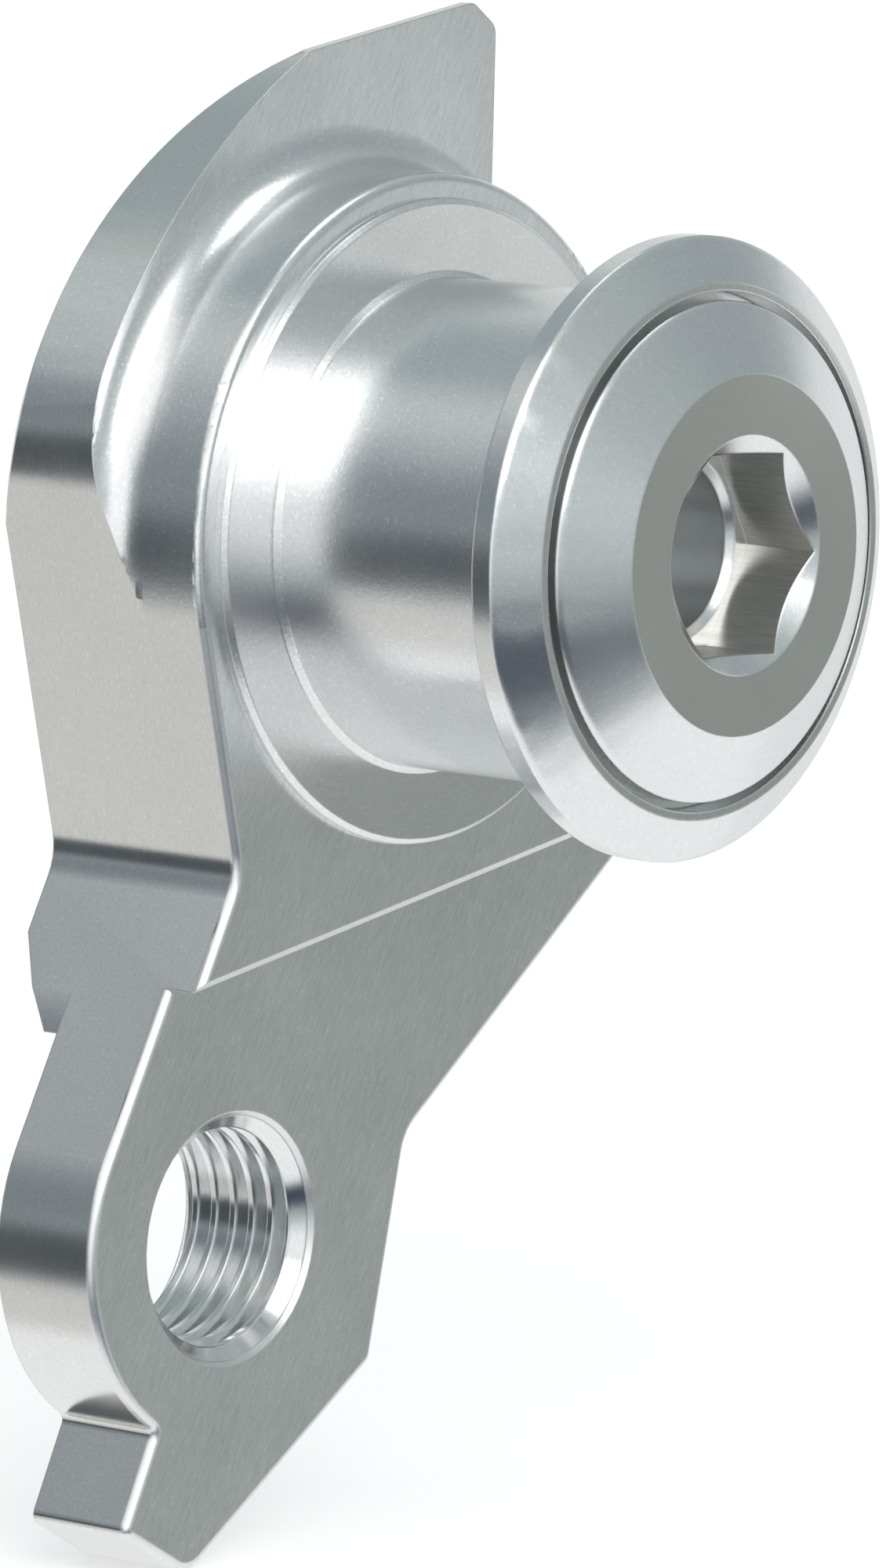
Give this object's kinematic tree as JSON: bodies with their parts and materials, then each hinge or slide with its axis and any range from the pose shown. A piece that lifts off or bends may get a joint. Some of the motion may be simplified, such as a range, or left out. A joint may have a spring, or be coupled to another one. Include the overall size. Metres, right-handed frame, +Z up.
{
  "type": "bicycle derailleur hanger",
  "caption": "Derailleur hanger with a stop flange, a hollow barrel for the frame, a lower arm with a threaded hole, and its hollow hexagon-socket bolt and stepped washer.",
  "frame": {"origin": "on the wheel axle's axis, in the plane of the ring that seats on the frame's dropout", "axes": "+X forward along the bicycle, +Y inboard along the axle, +Z up"},
  "size_m": [0.0349, 0.0262, 0.0615],
  "materials": {
    "hanger": "brushed, bead-blasted turned faces",
    "washer": "turned, satin",
    "bolt": "turned, satin"
  },
  "bodies": {
    "root": {"hanger": "hanger", "washer": "washer", "bolt": "bolt"}
  },
  "joints": []
}
